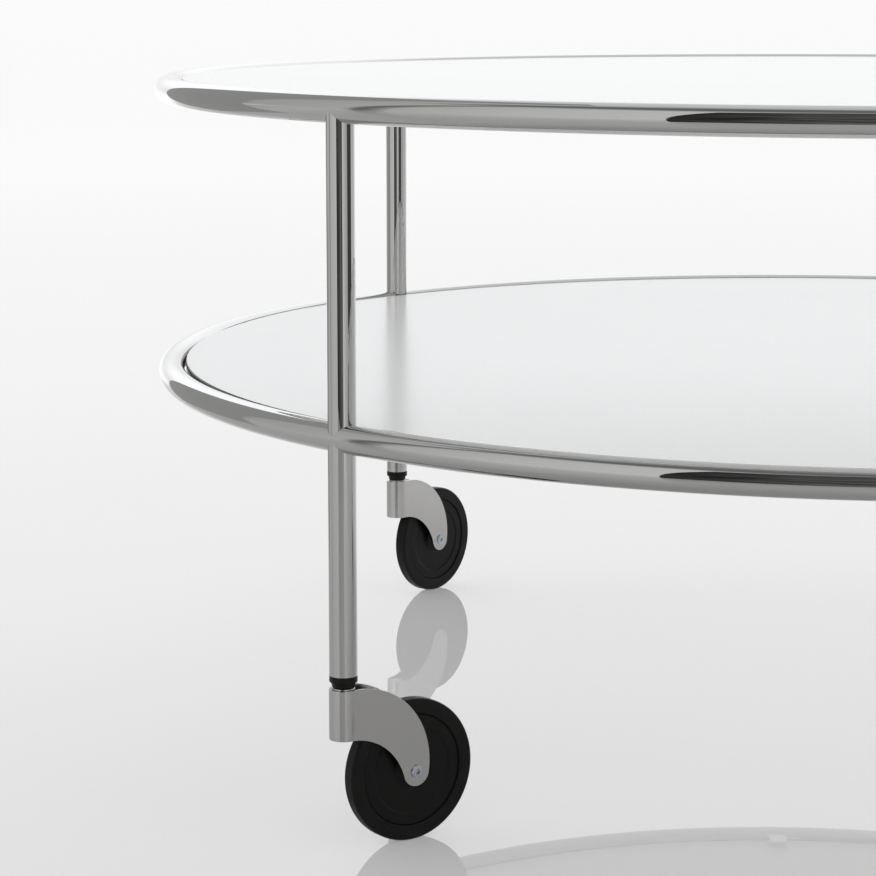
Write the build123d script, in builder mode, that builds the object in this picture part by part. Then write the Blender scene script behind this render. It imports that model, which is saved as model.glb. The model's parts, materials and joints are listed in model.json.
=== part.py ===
from build123d import *
import os
from math import atan2, cos, degrees, hypot, radians, sin, sqrt

# A low round trolley: two chromed tube rings, each holding a white shelf, on four legs with swivel casters.
# Millimetres, +Z up. The origin is on the floor under the middle of the rings, and -Y faces the viewer.

# Rings and legs
overall_diameter = 880.0    # across the outside of the rings
ring_tube = 16.0            # outside diameter of the ring tube
ring_wall = 1.5
leg_tube = 15.4             # the legs are a little thinner than the rings that they are welded to
leg_wall = 1.5
vent_hole = 6.0             # plating vents from the rings into the legs
lower_ring_height = 229.0   # floor to the middle of the lower ring
ring_spacing = 174.0        # between the middles of the two rings
leg_angles = {"front_left": 225.0, "front_right": 315.0, "rear_right": 45.0, "rear_left": 135.0}

# Shelves, and the welded tabs that carry them
shelf_thickness = 6.0
shelf_sink = 2.0            # shelf face below the top of its ring
shelf_gap = 0.8             # between the shelf's edge and the inside of its ring
shelf_edge_round = 0.8
tab_width = 13.5
tab_thickness = 5.0
tab_reach = 20.0            # how far a tab stands in from the ring
tab_count = 4
screw_shank = 3.6
screw_head = 7.0
screw_bite = 4.5            # how far a screw goes into the shelf
screw_inset = 8.0           # from the free end of a tab
screw_clearance = 0.1

# Wheels
wheel_diameter = 80.0
tyre_width = 9.0
tyre_depth = 8.5            # from the tread in to the wheel core
tyre_edge_round = 2.0
tyre_lip = 0.6              # chamfer that leaves a groove where the tyre meets the core
core_rim_width = 7.4
core_rim_depth = 6.5        # width of the raised band inside the tyre
core_web_width = 6.0
core_hub_diameter = 14.0

# Casters, in the order of their stack from the end of the leg down to the axle
trail_angles = {"front_left": 37.1, "front_right": 41.0, "rear_right": 48.0, "rear_left": 52.7}
insert_depth = 30.0         # of the plug inside the leg
collar_rim = 3.5            # full band of the collar, as wide as the leg
collar_taper = 3.2          # from that band down to the foot
collar_shoulder = 0.6       # height of the slope under the band
collar_neck_diameter = 13.3
collar_foot_diameter = 12.2
swivel_gap = 0.2            # running gap above and below the swivel bush
washer_thickness = 1.0
washer_margin = 0.3         # the washer is this much smaller all round than the bush
hub_lip = 0.4               # the fork's rim stands above the bush
hub_diameter = 16.0
hub_height = 28.0
fork_sheet = 1.5
fork_edge_round = 0.4
fork_end_radius = 8.3       # round end of the fork plates, about the axle
crown_start = 4.7           # from the swivel axis to where the top edge starts to fall
axle_drop = 24.0            # from the bottom of the hub down to the axle
tread_gap = 2.5             # between the hub's lower edge and the tread
stem_diameter = 8.0
stem_head_diameter = 11.0
stem_head_thickness = 2.0
stem_recess = 0.8           # the stem's head stays this far up inside the hub
running_fit = 0.05          # on the radius of what turns
axle_screw_diameter = 4.0
axle_head_diameter = 7.2
axle_head_height = 1.1
axle_socket = 3.0           # hexagon key, across the flats
axle_socket_depth = 1.5
axle_sleeve_diameter = 6.0
axle_hole_clearance = 0.1
axle_nut_flats = 7.0
axle_nut_height = 3.2
axle_screw_end = 0.6        # thread that shows past the nut
wheel_side_gap = 0.3        # between the core's hub and a fork plate

# Places worked out from those sizes
ring_radius = (overall_diameter - ring_tube) / 2
ring_heights = {"lower": lower_ring_height, "top": lower_ring_height + ring_spacing}
leg_bore = leg_tube - 2 * leg_wall
shelf_radius = ring_radius - ring_tube / 2 - shelf_gap
shelf_rise = ring_tube / 2 - shelf_sink
tab_end_radius = ring_radius - ring_tube / 2 - tab_reach
screw_radius = tab_end_radius + screw_inset
wheel_radius = wheel_diameter / 2
hub_radius = hub_diameter / 2
bush_radius = hub_radius - fork_sheet
axle_height = wheel_radius
hub_bottom = axle_height + axle_drop
hub_top = hub_bottom + hub_height
bush_top = hub_top - hub_lip
washer_top = bush_top + washer_thickness
collar_foot = washer_top + swivel_gap
leg_end = collar_foot + collar_taper + collar_rim
stem_head_top = hub_bottom + stem_recess + stem_head_thickness
bush_bottom = stem_head_top + swivel_gap
trail = hub_radius + tread_gap + sqrt(wheel_radius**2 - axle_drop**2)
core_radius = wheel_radius - tyre_depth
axle_point = (trail, 0, axle_height)
axle_line = Axis(axle_point, (0, 1, 0))
wheel_section = Plane(axle_point, x_dir=(0, 1, 0), z_dir=(1, 0, 0))


def on_circle(radius, direction, height=0.0):
    """A point at a distance and direction from the middle of the trolley."""
    return (radius * cos(radians(direction)), radius * sin(radians(direction)), height)


leg_points = {corner: on_circle(ring_radius, direction) for corner, direction in leg_angles.items()}

os.makedirs("parts", exist_ok=True)


# Rings: closed tube hoops, vented into the legs that meet them from below or from both sides
vent_align = {"lower": Align.CENTER, "top": Align.MAX}
for level, height in ring_heights.items():
    with BuildPart() as ring:
        with BuildSketch(Plane.XZ):
            with Locations((ring_radius, height)):
                Circle(ring_tube / 2)
                Circle(ring_tube / 2 - ring_wall, mode=Mode.SUBTRACT)
        revolve(axis=Axis.Z)
        with Locations([Pos(x, y, height) for x, y, _ in leg_points.values()]):
            vent = (Align.CENTER, Align.CENTER, vent_align[level])
            Cylinder(vent_hole / 2, ring_tube, align=vent, mode=Mode.SUBTRACT)
    ring.part.label = f"{level}_ring"
    export_step(ring.part, f"parts/{level}_ring.step")


# Legs: straight tubes whose ends are saddle cut to sit on the rings
leg_spans = {"upper": (ring_heights["lower"], ring_heights["top"]), "lower": (leg_end, ring_heights["lower"])}
for corner, (x, y, _) in leg_points.items():
    for level, (foot, head) in leg_spans.items():
        with BuildPart() as leg:
            with BuildSketch(Plane((x, y, foot))):
                Circle(leg_tube / 2)
                Circle(leg_bore / 2, mode=Mode.SUBTRACT)
            extrude(amount=head - foot)
            with Locations([Pos(0, 0, height) for height in ring_heights.values()]):
                Torus(ring_radius, ring_tube / 2, mode=Mode.SUBTRACT)
        leg.part.label = f"{corner}_{level}_leg"
        export_step(leg.part, f"parts/{corner}_{level}_leg.step")


# Shelves with their tabs and screws
tab_step = 360.0 / tab_count
tab_length = ring_radius - tab_end_radius
screw_places = [on_circle(screw_radius, number * tab_step) for number in range(tab_count)]
for level, height in ring_heights.items():
    shelf_face = height + shelf_rise
    shelf_back = shelf_face - shelf_thickness
    tab_back = shelf_back - tab_thickness

    with BuildPart() as shelf:
        with BuildSketch(Plane.XY.offset(shelf_back)):
            Circle(shelf_radius)
        extrude(amount=shelf_thickness)
        fillet(shelf.edges().group_by(Axis.Z)[-1], shelf_edge_round)
        with BuildSketch(Plane.XY.offset(shelf_back)):
            with Locations(screw_places):
                Circle(screw_shank / 2 + screw_clearance)
        extrude(amount=screw_bite + screw_clearance, mode=Mode.SUBTRACT)
    shelf.part.label = f"{level}_shelf"
    export_step(shelf.part, f"parts/{level}_shelf.step")

    with BuildPart() as tabs:
        with BuildSketch(Plane.XY.offset(tab_back)):
            with PolarLocations(tab_end_radius, tab_count):
                Rectangle(tab_length, tab_width, align=(Align.MIN, Align.CENTER))
        extrude(amount=tab_thickness)
        with Locations(Pos(0, 0, height)):
            Torus(ring_radius, ring_tube / 2, mode=Mode.SUBTRACT)
        with BuildSketch(Plane.XY.offset(tab_back)):
            with Locations(screw_places):
                Circle(screw_shank / 2 + screw_clearance)
        extrude(amount=tab_thickness, mode=Mode.SUBTRACT)
        head_height = (screw_head - screw_shank) / 2
        with Locations([Pos(x, y, tab_back) for x, y, _ in screw_places]):
            seat = (Align.CENTER, Align.CENTER, Align.MIN)
            Cone(screw_head / 2, screw_shank / 2, head_height, align=seat, mode=Mode.SUBTRACT)
    tabs.part.label = f"{level}_shelf_tabs"
    export_step(tabs.part, f"parts/{level}_shelf_tabs.step")

    with BuildPart() as screws:
        with Locations([Pos(x, y, tab_back) for x, y, _ in screw_places]):
            Cone(screw_head / 2, screw_shank / 2, head_height, align=seat)
            Cylinder(screw_shank / 2, tab_thickness + screw_bite, align=seat)
    screws.part.label = f"{level}_shelf_screws"
    export_step(screws.part, f"parts/{level}_shelf_screws.step")


# One caster, modelled about its swivel axis with the wheel trailing along +X, then set under each leg

# Plastic plug in the end of the leg, with the stepped collar that shows below it
insert_top = leg_end + insert_depth
with BuildPart() as insert:
    with BuildSketch(Plane.XZ):
        with BuildLine():
            Polyline(
                (stem_diameter / 2, collar_foot),
                (collar_foot_diameter / 2, collar_foot),
                (collar_neck_diameter / 2, collar_foot + collar_taper - collar_shoulder),
                (leg_tube / 2, collar_foot + collar_taper),
                (leg_tube / 2, leg_end),
                (leg_bore / 2, leg_end),
                (leg_bore / 2, insert_top),
                (stem_diameter / 2, insert_top),
                close=True,
            )
        make_face()
    revolve(axis=Axis.Z)

# Headed steel stem, fixed in the insert, on which the caster swivels
stem_foot = hub_bottom + stem_recess
with BuildPart() as stem:
    with BuildSketch(Plane.XY.offset(stem_foot)):
        Circle(stem_head_diameter / 2)
    extrude(amount=stem_head_thickness)
    with BuildSketch(Plane.XY.offset(stem_foot)):
        Circle(stem_diameter / 2)
    extrude(amount=insert_top - stem_foot)

# Swivel bush held in the bend of the fork, and the washer on it that the collar bears down on
with BuildPart() as bush:
    with BuildSketch(Plane.XY.offset(bush_bottom)):
        Circle(bush_radius)
        Circle(stem_diameter / 2 + running_fit, mode=Mode.SUBTRACT)
    extrude(amount=bush_top - bush_bottom)

with BuildPart() as washer:
    with BuildSketch(Plane.XY.offset(bush_top)):
        Circle(bush_radius - washer_margin)
        Circle(stem_diameter / 2 + running_fit, mode=Mode.SUBTRACT)
    extrude(amount=washer_thickness)


# Fork: one steel strip bent round the bush, its two flat plates cut to arches that meet the axle.
# The throat arc leaves the hub's lower edge, and the crown arc its upper edge, and both are tangent
# to the round end, which fixes their radii.
crown_rise = hub_top - axle_height
crown_run = trail - crown_start
crown_radius = (crown_run**2 + crown_rise**2 - fork_end_radius**2) / (2 * (crown_rise - fork_end_radius))
throat_radius = (trail**2 + axle_drop**2 - fork_end_radius**2) / (2 * (axle_drop + fork_end_radius))
crown_centre = (crown_start, hub_top - crown_radius)
throat_centre = (0, hub_bottom - throat_radius)
crown_angle = degrees(atan2(axle_height - crown_centre[1], crown_run))
throat_angle = degrees(atan2(axle_height - throat_centre[1], trail))
end_sweep = 180.0 + crown_angle - throat_angle
blank_length = trail + 2 * fork_end_radius

with BuildPart() as fork:
    with BuildSketch(Plane.XY.offset(axle_height - fork_end_radius)):
        Circle(hub_radius)
        Rectangle(blank_length, hub_diameter, align=(Align.MIN, Align.CENTER))
        Circle(bush_radius, mode=Mode.SUBTRACT)
        Rectangle(blank_length, 2 * bush_radius, align=(Align.MIN, Align.CENTER), mode=Mode.SUBTRACT)
    extrude(amount=crown_rise + fork_end_radius)
    with BuildSketch(Plane.XZ):
        with BuildLine():
            throat = CenterArc(throat_centre, throat_radius, 90.0, throat_angle - 90.0)
            CenterArc((trail, axle_height), fork_end_radius, throat_angle + 180.0, end_sweep)
            crown = CenterArc(crown_centre, crown_radius, crown_angle, 90.0 - crown_angle)
            Polyline(crown @ 1, (-hub_radius, hub_top), (-hub_radius, hub_bottom), throat @ 0)
        make_face()
    extrude(amount=hub_diameter, both=True, mode=Mode.INTERSECT)
    outside = hub_radius - fork_sheet / 4
    outline = fork.edges().filter_by(Axis.Z, reverse=True)
    outline = outline.filter_by(lambda edge: hypot(min((edge @ 0.5).X, 0), (edge @ 0.5).Y) > outside)
    fillet(outline, fork_edge_round)
    with BuildSketch(Plane.XZ):
        with Locations((trail, axle_height)):
            Circle(axle_screw_diameter / 2 + axle_hole_clearance)
    extrude(amount=hub_diameter, both=True, mode=Mode.SUBTRACT)

# Axle: a sleeve clamped between the plates by a socket screw and a nut
with BuildPart() as axle_sleeve:
    with BuildSketch(Plane.XZ.offset(-bush_radius)):
        with Locations((trail, axle_height)):
            Circle(axle_sleeve_diameter / 2)
            Circle(axle_screw_diameter / 2 + axle_hole_clearance, mode=Mode.SUBTRACT)
    extrude(amount=2 * bush_radius)

axle_screw_length = hub_diameter + axle_nut_height + axle_screw_end
with BuildPart() as axle_screw:
    with BuildSketch(Plane.XZ.offset(hub_radius)):
        with Locations((trail, axle_height)):
            Circle(axle_head_diameter / 2)
    extrude(amount=axle_head_height)
    with BuildSketch(Plane.XZ.offset(hub_radius)):
        with Locations((trail, axle_height)):
            Circle(axle_screw_diameter / 2)
    extrude(amount=-axle_screw_length)
    with BuildSketch(Plane.XZ.offset(hub_radius + axle_head_height)):
        with Locations((trail, axle_height)):
            RegularPolygon(axle_socket / 2, 6, major_radius=False)
    extrude(amount=-axle_socket_depth, mode=Mode.SUBTRACT)

with BuildPart() as axle_nut:
    with BuildSketch(Plane.XZ.offset(-hub_radius)):
        with Locations((trail, axle_height)):
            RegularPolygon(axle_nut_flats / 2, 6, major_radius=False)
            Circle(axle_screw_diameter / 2, mode=Mode.SUBTRACT)
    extrude(amount=-axle_nut_height)

# Wheel: a moulded core with a raised band, turning on the sleeve, inside a solid tyre
core_hub_half = bush_radius - wheel_side_gap
core_band_radius = core_radius - core_rim_depth
core_step = (core_rim_width - core_web_width) / 2
with BuildPart() as wheel_core:
    with BuildSketch(wheel_section):
        with BuildLine():
            Polyline(
                (0, axle_sleeve_diameter / 2 + running_fit),
                (core_hub_half, axle_sleeve_diameter / 2 + running_fit),
                (core_hub_half, core_hub_diameter / 2),
                (core_web_width / 2, core_hub_diameter / 2 + core_hub_half - core_web_width / 2),
                (core_web_width / 2, core_band_radius - core_step),
                (core_rim_width / 2, core_band_radius),
                (core_rim_width / 2, core_radius - tyre_lip),
                (core_rim_width / 2 - tyre_lip, core_radius),
                (0, core_radius),
                close=True,
            )
        make_face()
        mirror(about=Plane.YZ)
    revolve(axis=axle_line)

tyre_half = tyre_width / 2
with BuildPart() as tyre:
    with BuildSketch(wheel_section):
        with BuildLine():
            side = Polyline(
                (0, core_radius),
                (tyre_half - tyre_lip, core_radius),
                (tyre_half, core_radius + tyre_lip),
                (tyre_half, wheel_radius - tyre_edge_round),
            )
            shoulder = RadiusArc(side @ 1, (tyre_half - tyre_edge_round, wheel_radius), -tyre_edge_round)
            Polyline(shoulder @ 1, (0, wheel_radius), side @ 0)
        make_face()
        mirror(about=Plane.YZ)
    revolve(axis=axle_line)


caster_pieces = {
    "insert": insert,
    "stem": stem,
    "bush": bush,
    "washer": washer,
    "fork": fork,
    "axle_sleeve": axle_sleeve,
    "axle_screw": axle_screw,
    "axle_nut": axle_nut,
    "wheel_core": wheel_core,
    "tyre": tyre,
}
for corner, point in leg_points.items():
    for name, piece in caster_pieces.items():
        with BuildPart() as placed:
            with Locations(Location(point, (0, 0, trail_angles[corner]))):
                add(piece.part)
        placed.part.label = f"{corner}_{name}"
        export_step(placed.part, f"parts/{corner}_{name}.step")
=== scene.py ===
import bpy
import json
from math import atan2, cos, degrees, hypot, pi, radians, sin, sqrt
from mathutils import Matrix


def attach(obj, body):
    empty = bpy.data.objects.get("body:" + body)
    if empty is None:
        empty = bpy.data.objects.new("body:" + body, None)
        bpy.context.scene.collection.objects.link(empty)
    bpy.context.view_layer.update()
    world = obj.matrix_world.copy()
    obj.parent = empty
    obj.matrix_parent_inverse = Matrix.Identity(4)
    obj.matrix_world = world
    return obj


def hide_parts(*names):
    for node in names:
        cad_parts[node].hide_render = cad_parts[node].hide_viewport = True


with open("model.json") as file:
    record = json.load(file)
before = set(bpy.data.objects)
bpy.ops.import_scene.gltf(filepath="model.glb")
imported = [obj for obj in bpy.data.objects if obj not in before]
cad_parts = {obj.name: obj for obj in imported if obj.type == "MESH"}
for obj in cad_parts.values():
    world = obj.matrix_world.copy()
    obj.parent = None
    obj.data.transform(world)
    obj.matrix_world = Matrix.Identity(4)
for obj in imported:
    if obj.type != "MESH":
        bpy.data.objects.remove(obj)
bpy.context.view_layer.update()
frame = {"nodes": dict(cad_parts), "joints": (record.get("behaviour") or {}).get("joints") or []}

# Sizes in metres, the same as those of the solids that the pieces stand for
ring_radius = 0.432
tube_radius = 0.008
leg_radius = 0.0077
lower_ring_height = 0.229
top_ring_height = 0.403
ring_heights = {"lower": lower_ring_height, "top": top_ring_height}
shelf_radius = 0.4232
shelf_thickness = 0.006
shelf_rise = 0.006              # shelf face above the middle of its ring
wheel_radius = 0.040
axle_height = wheel_radius
hub_radius = 0.008
hub_bottom = 0.064
hub_top = 0.092
fork_sheet = 0.0015
bush_radius = hub_radius - fork_sheet
bush_top = 0.0916
washer_margin = 0.0003          # the washer's edge inside the bush's
washer_thickness = 0.001
collar_foot = 0.0928
collar_foot_radius = 0.0061
collar_neck_radius = 0.00665
collar_taper = 0.0032
collar_shoulder = 0.0006
leg_end = 0.0995
insert_top = 0.1295
leg_bore_radius = 0.0062
stem_radius = 0.004
running_fit = 0.00005
trail = 0.0425
crown_start = 0.0047
fork_end_radius = 0.0083
tyre_half = 0.0045
core_radius = 0.0315
tyre_edge_round = 0.002
tyre_lip = 0.0006
core_rim_half = 0.0037
core_band_radius = 0.025
core_web_half = 0.003
core_hub_radius = 0.007
core_hub_half = 0.0062
sleeve_radius = 0.003
axle_screw_radius = 0.002
axle_head_radius = 0.0036
axle_head_height = 0.0011
axle_socket_radius = 0.0015 * 2 / sqrt(3)
axle_socket_depth = 0.0015
axle_nut_radius = 0.0035 * 2 / sqrt(3)
axle_nut_height = 0.0032
axle_screw_end = 0.0006

# Rounding of sharp edges, in metres
shelf_round = 0.0008
core_round = 0.0004
small_round = 0.0003            # collars, washers and nuts
fork_round = 0.00028
screw_round = 0.0002

# Fineness of the meshes
tube_sides = 64
hoop_steps = 540
lathe_steps = 160
arc_steps = 40
tyre_edge_steps = 8
merge_distance = 0.00001
sharp_angle = radians(25)       # edges that are rounded
smooth_angle = radians(40)      # edges that are still shaded smooth

corners = ("front_left", "front_right", "rear_right", "rear_left")
joints = {joint["name"]: joint for joint in frame["joints"]}


# Ways of working that several pieces share

def alone(piece):
    """Select one piece and nothing else, and make it active."""
    bpy.ops.object.select_all(action="DESELECT")
    piece.select_set(True)
    bpy.context.view_layer.objects.active = piece


def primitive(name, add, **settings):
    """One of Blender's own shapes, under a name, with its place and turn applied."""
    bpy.ops.object.select_all(action="DESELECT")
    add(**settings)
    piece = bpy.context.object
    piece.name = name
    bpy.ops.object.transform_apply(location=True, rotation=True, scale=True)
    return piece


def drawn_line(name, points):
    """A line of edges, drawn by extruding one vertex from point to point.

    It is left in edit mode, all selected.
    """
    line = primitive(name, bpy.ops.mesh.primitive_plane_add, size=merge_distance)
    bpy.ops.object.mode_set(mode="EDIT")
    bpy.ops.mesh.select_mode(type="VERT")
    bpy.ops.mesh.select_all(action="SELECT")
    bpy.ops.mesh.merge(type="CENTER")
    bpy.ops.transform.translate(value=points[0])
    for start, end in zip(points, points[1:]):
        step = tuple(b - a for a, b in zip(start, end))
        bpy.ops.mesh.extrude_region_move(TRANSFORM_OT_translate={"value": step})
    bpy.ops.mesh.select_all(action="SELECT")
    return line


def close_up():
    """Merge what meets, turn the faces outwards and leave edit mode."""
    bpy.ops.mesh.select_all(action="SELECT")
    bpy.ops.mesh.remove_doubles(threshold=merge_distance)
    bpy.ops.mesh.normals_make_consistent(inside=False)
    bpy.ops.object.mode_set(mode="OBJECT")


def turned(name, profile, centre, axis):
    """A closed profile turned about an axis, as on a lathe."""
    piece = drawn_line(name, list(profile) + [profile[0]])
    bpy.ops.mesh.spin(steps=lathe_steps, angle=2 * pi, center=centre, axis=axis)
    close_up()
    return piece


def arc(centre, radius, start, end, steps=arc_steps):
    """Points (x, z) along an arc between two angles in degrees."""
    angles = [radians(start + (end - start) * step / steps) for step in range(steps + 1)]
    return [(centre[0] + radius * cos(a), centre[1] + radius * sin(a)) for a in angles]


def soften(piece, width, segments=3):
    """Round the sharp edges of a piece."""
    alone(piece)
    bpy.ops.object.mode_set(mode="EDIT")
    bpy.ops.mesh.select_mode(type="EDGE")
    bpy.ops.mesh.select_all(action="DESELECT")
    bpy.ops.mesh.edges_select_sharp(sharpness=sharp_angle)
    bpy.ops.mesh.bevel(offset=width, segments=segments, affect="EDGES", clamp_overlap=False)
    bpy.ops.object.mode_set(mode="OBJECT")


def trim(piece, cutter, operation="DIFFERENCE"):
    """Cut a piece with another one."""
    alone(piece)
    bpy.ops.object.modifier_add(type="BOOLEAN")
    cut = piece.modifiers[-1]
    cut.operation = operation
    cut.solver = "EXACT"
    cut.object = cutter
    bpy.ops.object.modifier_apply(modifier=cut.name)


def throw_away(piece):
    bpy.data.objects.remove(piece)


def polish(piece, finish):
    """Smooth the faces, keep flat ones flat, and give the piece its material."""
    alone(piece)
    bpy.ops.object.transform_apply(location=True, rotation=True, scale=True)
    bpy.ops.object.shade_smooth_by_angle(angle=smooth_angle)
    bpy.ops.object.modifier_add(type="WEIGHTED_NORMAL")
    weighted = piece.modifiers[-1]
    weighted.keep_sharp = True
    bpy.ops.object.modifier_apply(modifier=weighted.name)
    piece.data.materials.clear()
    piece.data.materials.append(finish)


def stand_for(piece, body, node):
    """Attach a piece to the body it moves with, and hide the solid it stands for."""
    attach(piece, body)
    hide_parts(node)


# Nodes that several materials and the studio share. Each gives its output socket.

def feed(tree, value, socket):
    """Give a socket a constant, or link another node's output to it."""
    if isinstance(value, bpy.types.NodeSocket):
        tree.links.new(value, socket)
    else:
        socket.default_value = value


def own_place(tree):
    """The object's own coordinates."""
    return tree.nodes.new("ShaderNodeTexCoord").outputs["Object"]


def parts_of(tree, vector):
    """The X, Y and Z of a vector."""
    node = tree.nodes.new("ShaderNodeSeparateXYZ")
    tree.links.new(vector, node.inputs["Vector"])
    return node.outputs["X"], node.outputs["Y"], node.outputs["Z"]


def length_of(tree, vector):
    node = tree.nodes.new("ShaderNodeVectorMath")
    node.operation = "LENGTH"
    tree.links.new(vector, node.inputs[0])
    return node.outputs["Value"]


def maths(tree, operation, *values):
    """The result of one step of arithmetic."""
    node = tree.nodes.new("ShaderNodeMath")
    node.operation = operation
    for value, socket in zip(values, node.inputs):
        feed(tree, value, socket)
    return node.outputs["Value"]


def mapped(tree, value, span, limits=(0, 1), smooth=False):
    """Carry a value from its span to other limits. Past the span it stays at a limit."""
    node = tree.nodes.new("ShaderNodeMapRange")
    node.interpolation_type = "SMOOTHSTEP" if smooth else "LINEAR"
    node.inputs["From Min"].default_value, node.inputs["From Max"].default_value = span
    node.inputs["To Min"].default_value, node.inputs["To Max"].default_value = limits
    tree.links.new(value, node.inputs["Value"])
    return node.outputs["Result"]


def mixed(tree, share, first, second, kind="RGBA"):
    """Two colours, or two plain values, mixed by the share of the second."""
    node = tree.nodes.new("ShaderNodeMix")
    node.data_type = kind
    feed(tree, share, node.inputs["Factor"])
    feed(tree, first, node.inputs["A"])
    feed(tree, second, node.inputs["B"])
    return node.outputs["Result"]


def mixed_shaders(tree, share, first, second):
    """Two shaders mixed by the share of the second."""
    node = tree.nodes.new("ShaderNodeMixShader")
    for value, socket in zip((share, first, second), node.inputs):
        tree.links.new(value, socket)
    return node.outputs["Shader"]


def graded(tree, value, span, stops, hue=(1, 1, 1)):
    """A grey of one hue that follows a value over its span, through (value, grey) stops."""
    node = tree.nodes.new("ShaderNodeValToRGB")
    ramp = node.color_ramp
    while len(ramp.elements) < len(stops):
        ramp.elements.new(1.0)
    for element, (at, grey) in zip(ramp.elements, stops):
        element.position = (at - span[0]) / (span[1] - span[0])
        element.color = (grey * hue[0], grey * hue[1], grey * hue[2], 1)
    tree.links.new(mapped(tree, value, span), node.inputs["Fac"])
    return node.outputs["Color"]


def plain_grey(grey):
    return (grey, grey, grey, 1)


# Materials

noise_span = (0.3, 0.7)         # where most of a noise's values lie
grain_depth = 0.00004
grain_strength = 0.3
dark_edge = (shelf_radius - 0.0006, shelf_radius - 0.0004)      # where a shelf turns from white to dark
edge_shade = 0.03
laminate_shades = ((0.82, 0.82, 0.82), (0.83, 0.83, 0.83))
zinc_shades = ((0.56, 0.62, 0.69), (0.68, 0.73, 0.77))
deep_black = ((0.0035, 0.003, 0.0028), (0.005, 0.0045, 0.004))
core_shades = ((0.003, 0.0027, 0.0024), (0.0045, 0.004, 0.0036))
bush_shades = ((0.012, 0.012, 0.012), (0.018, 0.018, 0.018))
floor_shades = ((0.395, 0.395, 0.395), (0.405, 0.405, 0.405))


def new_finish(name, sockets):
    """A material with constants set on its shader's own sockets.

    Gives the material, its tree and its shader.
    """
    finish = bpy.data.materials.new(name)
    finish.use_nodes = True
    tree = finish.node_tree
    shader = tree.nodes["Principled BSDF"]
    for socket, value in sockets.items():
        shader.inputs[socket].default_value = value
    return finish, tree, shader


def noise(tree, scale, detail=4.0, stretch=(1, 1, 1)):
    """Noise on the object's own coordinates."""
    mapping = tree.nodes.new("ShaderNodeMapping")
    mapping.inputs["Scale"].default_value = stretch
    texture = tree.nodes.new("ShaderNodeTexNoise")
    texture.inputs["Scale"].default_value = scale
    texture.inputs["Detail"].default_value = detail
    tree.links.new(own_place(tree), mapping.inputs["Vector"])
    tree.links.new(mapping.outputs["Vector"], texture.inputs["Vector"])
    return texture.outputs["Fac"]


def spread(tree, value, limits, socket):
    """Carry a noise value to a shader socket, between two limits."""
    tree.links.new(mapped(tree, value, noise_span, limits), socket)


def tint(tree, value, colours, socket):
    """Carry a noise value to a colour socket, between two colours."""
    ramp = tree.nodes.new("ShaderNodeValToRGB")
    for element, position, colour in zip(ramp.color_ramp.elements, noise_span, colours):
        element.position = position
        element.color = (*colour, 1)
    tree.links.new(value, ramp.inputs["Fac"])
    tree.links.new(ramp.outputs["Color"], socket)


def relief(tree, value, shader):
    """A fine bump from a noise value."""
    bump = tree.nodes.new("ShaderNodeBump")
    bump.inputs["Distance"].default_value = grain_depth
    bump.inputs["Strength"].default_value = grain_strength
    tree.links.new(value, bump.inputs["Height"])
    tree.links.new(bump.outputs["Normal"], shader.inputs["Normal"])


def metal(name, colour, roughness, grain, detail=4.0):
    """A metal whose gloss varies a little over its face."""
    finish, tree, shader = new_finish(name, {"Base Color": (*colour, 1), "Metallic": 1.0})
    spread(tree, noise(tree, grain, detail), roughness, shader.inputs["Roughness"])
    return finish


def blue_zinc():
    """Zinc plating, whose blue also varies a little."""
    finish, tree, shader = new_finish("blue_zinc", {"Metallic": 1.0})
    tint(tree, noise(tree, scale=700), zinc_shades, shader.inputs["Base Color"])
    spread(tree, noise(tree, scale=1200, detail=3), (0.18, 0.34), shader.inputs["Roughness"])
    return finish


def white_laminate():
    """White faces on a board with a dark edge."""
    finish, tree, shader = new_finish("white_laminate", {"IOR": 1.43})
    level = tree.nodes.new("ShaderNodeVectorMath")
    level.operation = "MULTIPLY"
    level.inputs[1].default_value = (1, 1, 0)
    tree.links.new(own_place(tree), level.inputs[0])
    rim = mapped(tree, length_of(tree, level.outputs["Vector"]), dark_edge)
    board = tree.nodes.new("ShaderNodeMix")
    board.data_type = "RGBA"
    tree.links.new(rim, board.inputs["Factor"])
    tint(tree, noise(tree, scale=9), laminate_shades, board.inputs["A"])
    board.inputs["B"].default_value = plain_grey(edge_shade)
    tree.links.new(board.outputs["Result"], shader.inputs["Base Color"])
    spread(tree, noise(tree, scale=200), (0.21, 0.22), shader.inputs["Roughness"])
    return finish


def black_plastic(name, colours, roughness, grain):
    """Moulded black plastic or rubber, with a fine grain."""
    finish, tree, shader = new_finish(name, {"IOR": 1.30})
    tint(tree, noise(tree, scale=60), colours, shader.inputs["Base Color"])
    spread(tree, noise(tree, scale=150), roughness, shader.inputs["Roughness"])
    relief(tree, noise(tree, grain, detail=2), shader)
    return finish


chrome = metal("polished_chrome", (0.60, 0.60, 0.587), roughness=(0.015, 0.03), grain=55)
laminate = white_laminate()
nickel = metal("satin_nickel", (0.61, 0.605, 0.595), roughness=(0.08, 0.14), grain=400, detail=6)
washer_bright = metal("bright_washer", (0.72, 0.72, 0.71), roughness=(0.10, 0.20), grain=900, detail=3)
zinc = blue_zinc()
plain_steel = metal("plain_steel", (0.50, 0.50, 0.50), roughness=(0.25, 0.40), grain=800)
collar_black = black_plastic("collar_plastic", deep_black, roughness=(0.30, 0.38), grain=3000)
core_black = black_plastic("core_plastic", core_shades, roughness=(0.32, 0.38), grain=2600)
tyre_black = black_plastic("tyre_rubber", deep_black, roughness=(0.36, 0.44), grain=2200)
bush_black = black_plastic("bush_plastic", bush_shades, roughness=(0.45, 0.55), grain=3000)


# Rings: a round section spun into a hoop

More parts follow.
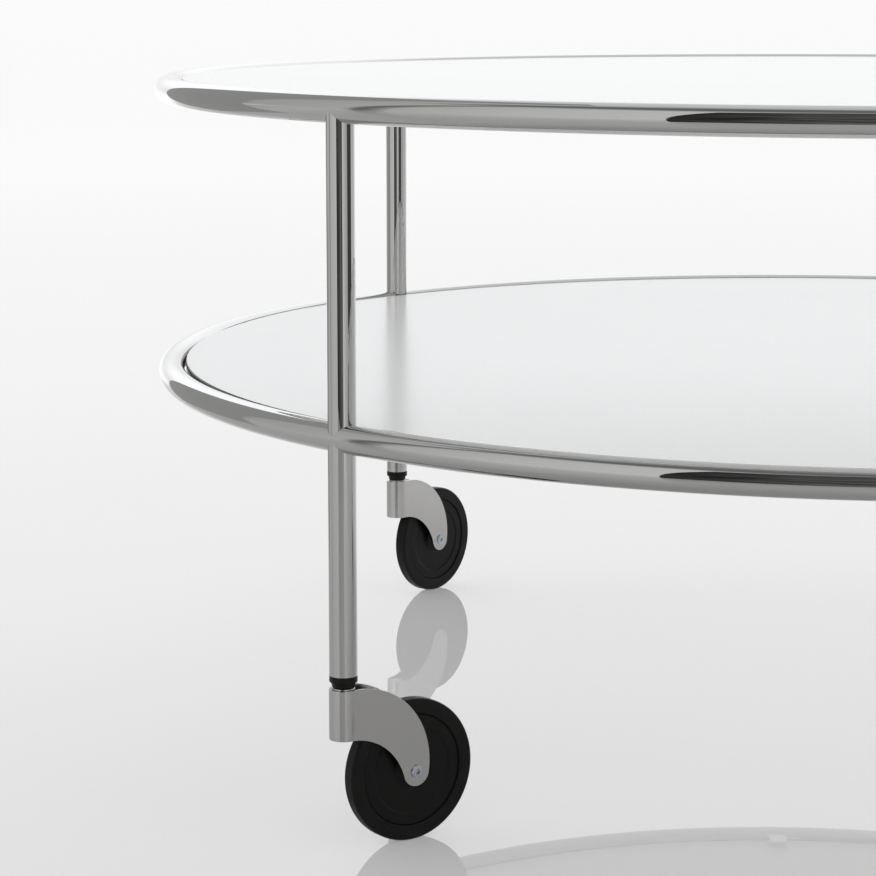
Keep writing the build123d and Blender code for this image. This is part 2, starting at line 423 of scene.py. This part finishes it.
def ring(level):
    height = ring_heights[level]
    hoop = primitive(
        f"{level}_hoop", bpy.ops.mesh.primitive_circle_add, vertices=tube_sides, radius=tube_radius,
        location=(ring_radius, 0, height), rotation=(pi / 2, 0, 0),
    )
    bpy.ops.object.mode_set(mode="EDIT")
    bpy.ops.mesh.select_all(action="SELECT")
    bpy.ops.mesh.spin(steps=hoop_steps, angle=2 * pi, center=(0, 0, height), axis=(0, 0, 1))
    close_up()
    polish(hoop, chrome)
    return hoop


hoops = {level: ring(level) for level in ring_heights}
for level, hoop in hoops.items():
    stand_for(hoop, "frame", f"{level}_ring")


# Legs: straight tubes, cut to sit on the rings

leg_spans = {"upper": (lower_ring_height, top_ring_height), "lower": (leg_end, lower_ring_height)}


def leg(corner, level):
    x, y, _ = joints[f"{corner}_swivel"]["pos_m"]
    foot, head = leg_spans[level]
    tube = primitive(
        f"{corner}_{level}_tube", bpy.ops.mesh.primitive_cylinder_add, vertices=tube_sides,
        radius=leg_radius, depth=head - foot, location=(x, y, (foot + head) / 2),
    )
    trim(tube, hoops["lower"])
    if level == "upper":
        trim(tube, hoops["top"])
    polish(tube, chrome)
    stand_for(tube, "frame", f"{corner}_{level}_leg")


for corner in corners:
    for level in leg_spans:
        leg(corner, level)


# Shelves: discs with a rounded edge

def shelf(level):
    middle = ring_heights[level] + shelf_rise - shelf_thickness / 2
    disc = primitive(
        f"{level}_disc", bpy.ops.mesh.primitive_cylinder_add, vertices=hoop_steps,
        radius=shelf_radius, depth=shelf_thickness, location=(0, 0, middle),
    )
    soften(disc, shelf_round)
    polish(disc, laminate)
    stand_for(disc, "frame", f"{level}_shelf")


for level in ring_heights:
    shelf(level)


# One caster about its swivel axis, with the wheel trailing along +X

upright = (0, 0, 1)
along_axle = (0, 1, 0)
axle_middle = (trail, 0, axle_height)
hexagon_turn = (pi / 2, pi / 6, 0)      # along the axle, with a flat at the top


def collar():
    neck = collar_foot + collar_taper - collar_shoulder
    profile = [
        (stem_radius, 0, collar_foot),
        (collar_foot_radius, 0, collar_foot),
        (collar_neck_radius, 0, neck),
        (leg_radius, 0, collar_foot + collar_taper),
        (leg_radius, 0, leg_end),
        (leg_bore_radius, 0, leg_end),
        (leg_bore_radius, 0, insert_top),
        (stem_radius, 0, insert_top),
    ]
    piece = turned("collar", profile, (0, 0, 0), upright)
    soften(piece, small_round)
    polish(piece, collar_black)
    return piece


def washer():
    inner = stem_radius + running_fit
    outer = bush_radius - washer_margin
    top = bush_top + washer_thickness
    profile = [(inner, 0, bush_top), (outer, 0, bush_top), (outer, 0, top), (inner, 0, top)]
    piece = turned("washer_ring", profile, (0, 0, 0), upright)
    soften(piece, small_round)
    polish(piece, washer_bright)
    return piece


def fork_outline():
    """Points (x, z) round a fork plate, with room to spare behind the hub."""
    crown_rise = hub_top - axle_height
    crown_run = trail - crown_start
    axle_drop = hub_bottom - axle_height
    crown_reach = crown_run**2 + crown_rise**2 - fork_end_radius**2
    throat_reach = trail**2 + axle_drop**2 - fork_end_radius**2
    crown_radius = crown_reach / (2 * (crown_rise - fork_end_radius))
    throat_radius = throat_reach / (2 * (axle_drop + fork_end_radius))
    crown_centre = (crown_start, hub_top - crown_radius)
    throat_centre = (0, hub_bottom - throat_radius)
    crown_angle = degrees(atan2(axle_height - crown_centre[1], crown_run))
    throat_angle = degrees(atan2(axle_height - throat_centre[1], trail))
    outline = arc(throat_centre, throat_radius, 90, throat_angle)
    end = arc((trail, axle_height), fork_end_radius, throat_angle + 180, crown_angle + 360)
    outline += end[1:]
    outline += arc(crown_centre, crown_radius, crown_angle, 90)[1:]
    behind = -2 * hub_radius
    return outline + [(behind, hub_top), (behind, hub_bottom), outline[0]]


def fork():
    """A strip bent round the hub, cut to the arched outline of its plates."""
    blank_length = trail + 2 * fork_end_radius
    foot = axle_height - fork_end_radius
    bend = [(x, y, foot) for x, y in arc((0, 0), hub_radius, 270, 90)]
    ends = [(blank_length, side * hub_radius, foot) for side in (-1, 1)]
    strip = drawn_line("fork_strip", [ends[0]] + bend + [ends[1]])
    bpy.ops.mesh.extrude_region_move(TRANSFORM_OT_translate={"value": (0, 0, hub_top - foot)})
    close_up()
    alone(strip)
    bpy.ops.object.modifier_add(type="SOLIDIFY")
    wall = strip.modifiers[-1]
    wall.thickness = fork_sheet
    wall.offset = -1
    wall.use_even_offset = True
    bpy.ops.object.modifier_apply(modifier=wall.name)

    side = 2 * hub_radius
    plate = drawn_line("fork_outline", [(x, -side, z) for x, z in fork_outline()])
    bpy.ops.mesh.remove_doubles(threshold=merge_distance)
    bpy.ops.mesh.edge_face_add()
    bpy.ops.mesh.extrude_region_move(TRANSFORM_OT_translate={"value": (0, 2 * side, 0)})
    close_up()
    trim(strip, plate, "INTERSECT")
    throw_away(plate)
    soften(strip, fork_round)
    polish(strip, nickel)
    return strip


def axle_screw():
    """A socket-headed screw along the axle, its head towards -Y and its end past the nut."""
    shoulder = -hub_radius
    face = shoulder - axle_head_height
    end = hub_radius + axle_nut_height + axle_screw_end
    profile = [
        (0, face),
        (axle_head_radius, face),
        (axle_head_radius, shoulder),
        (axle_screw_radius, shoulder),
        (axle_screw_radius, end),
        (0, end),
    ]
    profile = [(trail + across, along, axle_height) for across, along in profile]
    piece = turned("axle_screw", profile, axle_middle, along_axle)
    soften(piece, screw_round)
    key = primitive(
        "socket_key", bpy.ops.mesh.primitive_cylinder_add, vertices=6, radius=axle_socket_radius,
        depth=2 * axle_socket_depth, location=(trail, face, axle_height), rotation=hexagon_turn,
    )
    trim(piece, key)
    throw_away(key)
    polish(piece, zinc)
    return piece


def axle_nut():
    middle = hub_radius + axle_nut_height / 2
    piece = primitive(
        "axle_nut", bpy.ops.mesh.primitive_cylinder_add, vertices=6, radius=axle_nut_radius,
        depth=axle_nut_height, location=(trail, middle, axle_height), rotation=hexagon_turn,
    )
    soften(piece, small_round)
    polish(piece, zinc)
    return piece


def wheel_section(half_profile):
    """A wheel's section, from points (half width, radius) on one side, mirrored to the other."""
    far_side = [(-across, radius) for across, radius in reversed(half_profile)]
    return [(trail, across, axle_height + radius) for across, radius in half_profile + far_side]


def wheel_core():
    core_step = core_rim_half - core_web_half
    half = [
        (core_hub_half, sleeve_radius + running_fit),
        (core_hub_half, core_hub_radius),
        (core_web_half, core_hub_radius + core_hub_half - core_web_half),
        (core_web_half, core_band_radius - core_step),
        (core_rim_half, core_band_radius),
        (core_rim_half, core_radius - tyre_lip),
        (core_rim_half - tyre_lip, core_radius),
    ]
    piece = turned("wheel_core", wheel_section(half), axle_middle, along_axle)
    soften(piece, core_round)
    polish(piece, core_black)
    return piece


def tyre():
    round_centre = (tyre_half - tyre_edge_round, wheel_radius - tyre_edge_round)
    shoulder = arc(round_centre, tyre_edge_round, 0, 90, tyre_edge_steps)
    half = [(tyre_half - tyre_lip, core_radius), (tyre_half, core_radius + tyre_lip)] + shoulder
    piece = turned("tyre_band", wheel_section(half), axle_middle, along_axle)
    polish(piece, tyre_black)
    return piece


def set_under(master, name, corner):
    """A copy of a caster piece, turned to its trail and set under its leg."""
    alone(master)
    bpy.ops.object.duplicate(linked=False)
    piece = bpy.context.object
    piece.name = name
    pivot = joints[f"{corner}_swivel"]["pos_m"]
    axle = joints[f"{corner}_roll"]["pos_m"]
    piece.rotation_euler.z = atan2(axle[1] - pivot[1], axle[0] - pivot[0])
    piece.location = (pivot[0], pivot[1], 0)
    bpy.ops.object.transform_apply(location=True, rotation=True, scale=True)
    return piece


# Each master, the name of its copies, the solid they stand for, what carries them and their slot
caster_pieces = [
    (collar(), "collar", "insert", "frame", "insert_plastic"),
    (washer(), "washer_ring", "washer", "caster", "washer_steel"),
    (fork(), "fork_plates", "fork", "caster", "fork_nickel"),
    (axle_screw(), "axle_bolt", "axle_screw", "caster", "screw_steel"),
    (axle_nut(), "axle_end_nut", "axle_nut", "caster", "screw_steel"),
    (wheel_core(), "wheel_disc", "wheel_core", "wheel", "core_plastic"),
    (tyre(), "tyre_band", "tyre", "wheel", "tyre_rubber"),
]
for master, name, node, carrier, slot in caster_pieces:
    for corner in corners:
        body = carrier if carrier == "frame" else f"{corner}_{carrier}"
        piece = set_under(master, f"{corner}_{name}", corner)
        stand_for(piece, body, f"{corner}_{node}")
    throw_away(master)


# Solids that stay as they are and only get a finish

kept_finishes = {"stem": plain_steel, "bush": bush_black, "axle_sleeve": plain_steel}
for corner in corners:
    for node, finish in kept_finishes.items():
        frame["nodes"][f"{corner}_{node}"].material_slots[0].material = finish
for level in ring_heights:
    frame["nodes"][f"{level}_shelf_tabs"].material_slots[0].material = chrome
    frame["nodes"][f"{level}_shelf_screws"].material_slots[0].material = zinc


# Floor

floor_size = 400.0
floor_ior = 1.5
floor_reach = (0.9, 5.0)                # distances from the object's middle
floor_paleness = (0.295, 0.58)          # the floor's own paleness at those distances
floor_span = (-1, 2)                    # Y of the front and the back end of the next two lists
painted_shade_beneath = [                       # painted shade: share of its glow that metal sees below the object, by Y, dimmed where the object shades it
    (-0.75, 0.48), (-0.45, 0.20), (-0.28, 0.20), (0.0, 0.75), (0.3, 0.95), (0.6, 0.95),
]
painted_light_and_shade_beside = [                        # and painted light and shade to the left of the object
    (-0.75, 0.45), (-0.3, 0.40), (0.0, 0.55), (0.3, 0.65),
    (0.6, 0.45), (0.9, 0.3), (1.2, 0.6), (1.7, 1.4),
]
beside_slant = 0.15                     # the two meet where X plus this share of Y is
beside_edge = (-0.62, -0.46)            # between these
far_corner_span = (0.25, 0.55)          # X plus Y, towards the far right corner
painted_light_far_corner = (1.0, 1.7)            # painted light: metal sees more of it there


def pale_floor():
    """Glossy and pale.

    Part of its paleness is its own where it is seen, and the rest takes the object's shadow. Its glow
    as metal mirrors it holds painted shade beneath the object, painted light and shade beside it and
    painted light at the far right corner.
    """
    sockets = {"IOR": floor_ior, "Roughness": 0, "Emission Color": (1, 1, 1, 1)}
    finish, tree, shader = new_finish("pale_floor", sockets)
    tint(tree, noise(tree, scale=3), floor_shades, shader.inputs["Base Color"])
    place = own_place(tree)
    x, y, _ = parts_of(tree, place)
    paleness = mapped(tree, length_of(tree, place), floor_reach, floor_paleness)

    beneath = graded(tree, y, floor_span, painted_shade_beneath)
    beside = graded(tree, y, floor_span, painted_light_and_shade_beside)
    across = maths(tree, "MULTIPLY_ADD", y, beside_slant, x)
    inside = mapped(tree, across, beside_edge, smooth=True)
    # painted light toward the far right corner, in what metal sees of the floor
    far_corner = mapped(tree, maths(tree, "ADD", x, y), far_corner_span, painted_light_far_corner)
    # painted light and shade in the floor's glow, seen only by metal
    painted_light_and_shade_in_metal = maths(tree, "MULTIPLY", mixed(tree, inside, beside, beneath), far_corner)

    path = tree.nodes.new("ShaderNodeLightPath")
    seen = mixed(tree, path.outputs["Is Glossy Ray"], 1, painted_light_and_shade_in_metal, "FLOAT")
    mirror = tree.nodes.new("ShaderNodeFresnel")
    mirror.inputs["IOR"].default_value = floor_ior
    under_gloss = maths(tree, "SUBTRACT", 1, mirror.outputs["Fac"])
    share = maths(tree, "MULTIPLY", seen, under_gloss)
    lift = maths(tree, "MULTIPLY", share, paleness)
    tree.links.new(lift, shader.inputs["Emission Strength"])
    finish.cycles.emission_sampling = "NONE"
    return finish


floor = primitive("floor", bpy.ops.mesh.primitive_plane_add, size=floor_size)
floor.data.materials.append(pale_floor())


# Studio cards near the camera and at the side: only the object's polished surfaces see them

blotch_scale = 2.2
blotch_detail = 3
blotch_stretch = (1, 1.6, 1)
one_turn = 1.5                  # a ray's glossy depth is under this after one turn


def straight_off_the_floor(tree):
    """1 for a ray from the camera that the floor, the one perfect mirror here, has turned."""
    path = tree.nodes.new("ShaderNodeLightPath")
    once = maths(tree, "LESS_THAN", path.outputs["Glossy Depth"], one_turn)
    return maths(tree, "MULTIPLY", path.outputs["Is Singular Ray"], once)


def card_finish(name, width, tones, blotches):
    """A glow with a tone at each end of the card and perhaps blotches, which the floor doesn't show."""
    finish = bpy.data.materials.new(name)
    finish.use_nodes = True
    tree = finish.node_tree
    tree.nodes.remove(tree.nodes["Principled BSDF"])
    glow = tree.nodes.new("ShaderNodeEmission")
    along, _, _ = parts_of(tree, own_place(tree))
    tone = mapped(tree, along, (-width / 2, width / 2), tones)
    tree.links.new(tone, glow.inputs["Strength"])
    pattern = noise(tree, blotch_scale, blotch_detail, blotch_stretch)
    tint(tree, pattern, [(grey,) * 3 for grey in blotches], glow.inputs["Color"])
    unseen = tree.nodes.new("ShaderNodeBsdfTransparent")
    either = mixed_shaders(tree, straight_off_the_floor(tree), glow.outputs[0], unseen.outputs[0])
    tree.links.new(either, tree.nodes["Material Output"].inputs["Surface"])
    return finish


def card(name, start, end, heights, tones, blotches=(1, 1)):
    """A standing card from one point on the floor to another."""
    bottom, top = heights
    width = hypot(end[0] - start[0], end[1] - start[1])
    board = primitive(name, bpy.ops.mesh.primitive_plane_add, size=1)
    board.scale = (width, top - bottom, 1)
    bpy.ops.object.transform_apply(location=False, rotation=False, scale=True)
    board.rotation_euler = (pi / 2, 0, atan2(end[1] - start[1], end[0] - start[0]))
    board.location = ((start[0] + end[0]) / 2, (start[1] + end[1]) / 2, (bottom + top) / 2)
    board.data.materials.append(card_finish(name, width, tones, blotches))
    board.visible_camera = False
    board.visible_diffuse = False
    board.visible_shadow = False


card(
    "dark_card", (-1.03, -1.70), (0.05, -1.70),
    heights=(0.0, 2.6), tones=(0.03, 0.125), blotches=(0.2, 1.8),
)
card("bright_card", (0.05, -1.70), (0.245, -0.65), heights=(0.0, 1.6), tones=(0.86, 0.46))
card("far_dark_card", (0.245, -0.65), (0.68, -0.22), heights=(0.2, 1.6), tones=(0.06, 0.06))
card("side_card", (-0.946, 0.045), (-0.80, 0.552), heights=(0.0, 2.6), tones=(0.36, 0.365))


# Studio: what the polished metal mirrors, by direction, and an even light on everything else

# By degrees of azimuth: 0 is towards the viewer, and the viewer's right is positive
all_round = (-180, 180)
wall_tones = [
    (-180, 0.37), (-150, 0.37), (-117, 0.36), (-114, 0.50), (-90.5, 0.57), (-88.5, 0.20),
    (-87, 0.19), (-85.5, 0.25), (-83, 0.45), (-81.5, 0.60), (-60, 0.70), (-40, 0.74),
    (-20, 0.78), (30, 0.74), (60, 0.45), (98, 0.36), (180, 0.37),
]
screen_share = [(-180, 1.0), (-152, 1.0), (-147, 0.0), (132, 0.0), (137, 1.0), (180, 1.0)]
screen_gain = [(-180, 1.0), (-170, 1.0), (-160, 1.11), (-140, 1.11), (170, 1.0), (180, 1.0)]

screen_foot = 0.965             # tone of the lit screen behind, low down
screen_head = 1.32              # and higher up
screen_rise = (3, 15)           # degrees above level, from foot to head
cool = (0.985, 1.0, 1.025)      # hue of the ceiling and of the upper part of the screen
ceiling_slant = 0.45            # the ceiling's tones follow Y plus this share of X
ceiling_span = (-1, 1)
ceiling_tones = [(-0.22, 0.19), (-0.12, 0.25), (0.0, 0.64), (0.2, 0.79), (0.5, 0.85)]
ceiling_lean = 0.1675           # it comes lower behind than in front
ceiling_edge = (48.5, 58.5)     # degrees above level where it starts
low_light = 2.1                 # even light from the walls round about
high_light = 0.66               # and from above
low_to_high = (18, 30)          # degrees above level, from the one to the other
backdrop = 0.94


def heights_of(angles):
    """The Z of directions that are these degrees above level."""
    return tuple(sin(radians(angle)) for angle in angles)


def mirrored_room(tree, x, y, z):
    """What polished metal sees: walls, a lit screen behind and a ceiling.

    The floor shows the camera the screen alone.
    """
    azimuth = maths(tree, "DEGREES", maths(tree, "ARCTAN2", x, maths(tree, "MULTIPLY", y, -1)))
    walls = graded(tree, azimuth, all_round, wall_tones)
    rise = mapped(tree, z, heights_of(screen_rise), smooth=True)
    foot = graded(tree, azimuth, all_round, [(a, screen_foot * gain) for a, gain in screen_gain])
    head = graded(tree, azimuth, all_round, [(a, screen_head * gain) for a, gain in screen_gain], cool)
    screen = mixed(tree, rise, foot, head)
    behind = graded(tree, azimuth, all_round, screen_share)
    around = mixed(tree, behind, walls, screen)

    slant = maths(tree, "MULTIPLY_ADD", x, ceiling_slant, y)
    ceiling = graded(tree, slant, ceiling_span, ceiling_tones, cool)
    lean = maths(tree, "MULTIPLY_ADD", y, ceiling_lean, z)
    above = mapped(tree, lean, heights_of(ceiling_edge))
    room = mixed(tree, above, around, ceiling)

    plain = mixed(tree, rise, plain_grey(screen_foot), plain_grey(screen_head))
    return mixed(tree, straight_off_the_floor(tree), room, plain)


def studio_world():
    world = bpy.data.worlds.new("studio")
    bpy.context.scene.world = world
    world.use_nodes = True
    tree = world.node_tree
    direction = tree.nodes.new("ShaderNodeTexCoord").outputs["Generated"]
    x, y, z = parts_of(tree, direction)

    light = tree.nodes["Background"]
    light.inputs["Color"].default_value = plain_grey(1)
    strength = mapped(tree, z, heights_of(low_to_high), (low_light, high_light))
    tree.links.new(strength, light.inputs["Strength"])
    room = tree.nodes.new("ShaderNodeBackground")
    tree.links.new(mirrored_room(tree, x, y, z), room.inputs["Color"])
    behind = tree.nodes.new("ShaderNodeBackground")
    behind.inputs["Color"].default_value = plain_grey(backdrop)

    path = tree.nodes.new("ShaderNodeLightPath").outputs
    shiny = maths(tree, "MAXIMUM", path["Is Glossy Ray"], path["Is Transmission Ray"])
    around = mixed_shaders(tree, shiny, light.outputs[0], room.outputs[0])
    seen = mixed_shaders(tree, path["Is Camera Ray"], around, behind.outputs[0])
    tree.links.new(seen, tree.nodes["World Output"].inputs["Surface"])


studio_world()


def soft_light(name, location, turn, size, power, hue=(1, 1, 1)):
    """A large soft lamp that lights the object and doesn't show as a shape in the polished metal."""
    lamp = bpy.data.lights.new(name, "AREA")
    lamp.shape = "DISK"
    lamp.size = size
    lamp.energy = power
    lamp.color = hue
    holder = bpy.data.objects.new(name, lamp)
    holder.location = location
    holder.rotation_euler = turn
    holder.visible_camera = False
    holder.visible_glossy = False
    bpy.context.scene.collection.objects.link(holder)


tipped_forward = (radians(-20), 0, 0)
facing_up = (pi, 0, 0)
soft_light("overhead", (0.4, 1.2, 3.2), tipped_forward, size=3.0, power=8)
soft_light("between_shelves", (0, 0, 0.25), facing_up, size=0.8, power=0.56, hue=(0.96, 1.0, 1.0))


# Camera

camera_dip = radians(9.702)     # below level
camera_turn = radians(1.856)    # to the left
camera_data = bpy.data.cameras.new("camera")
camera_data.lens = 111.03
camera_data.sensor_width = 36.0
camera = bpy.data.objects.new("camera", camera_data)
camera.location = (-0.2087, -1.7174, 0.4708)
camera.rotation_euler = (pi / 2 - camera_dip, 0, camera_turn)
bpy.context.scene.collection.objects.link(camera)
bpy.context.scene.camera = camera
bpy.context.scene.view_settings.view_transform = "Standard"
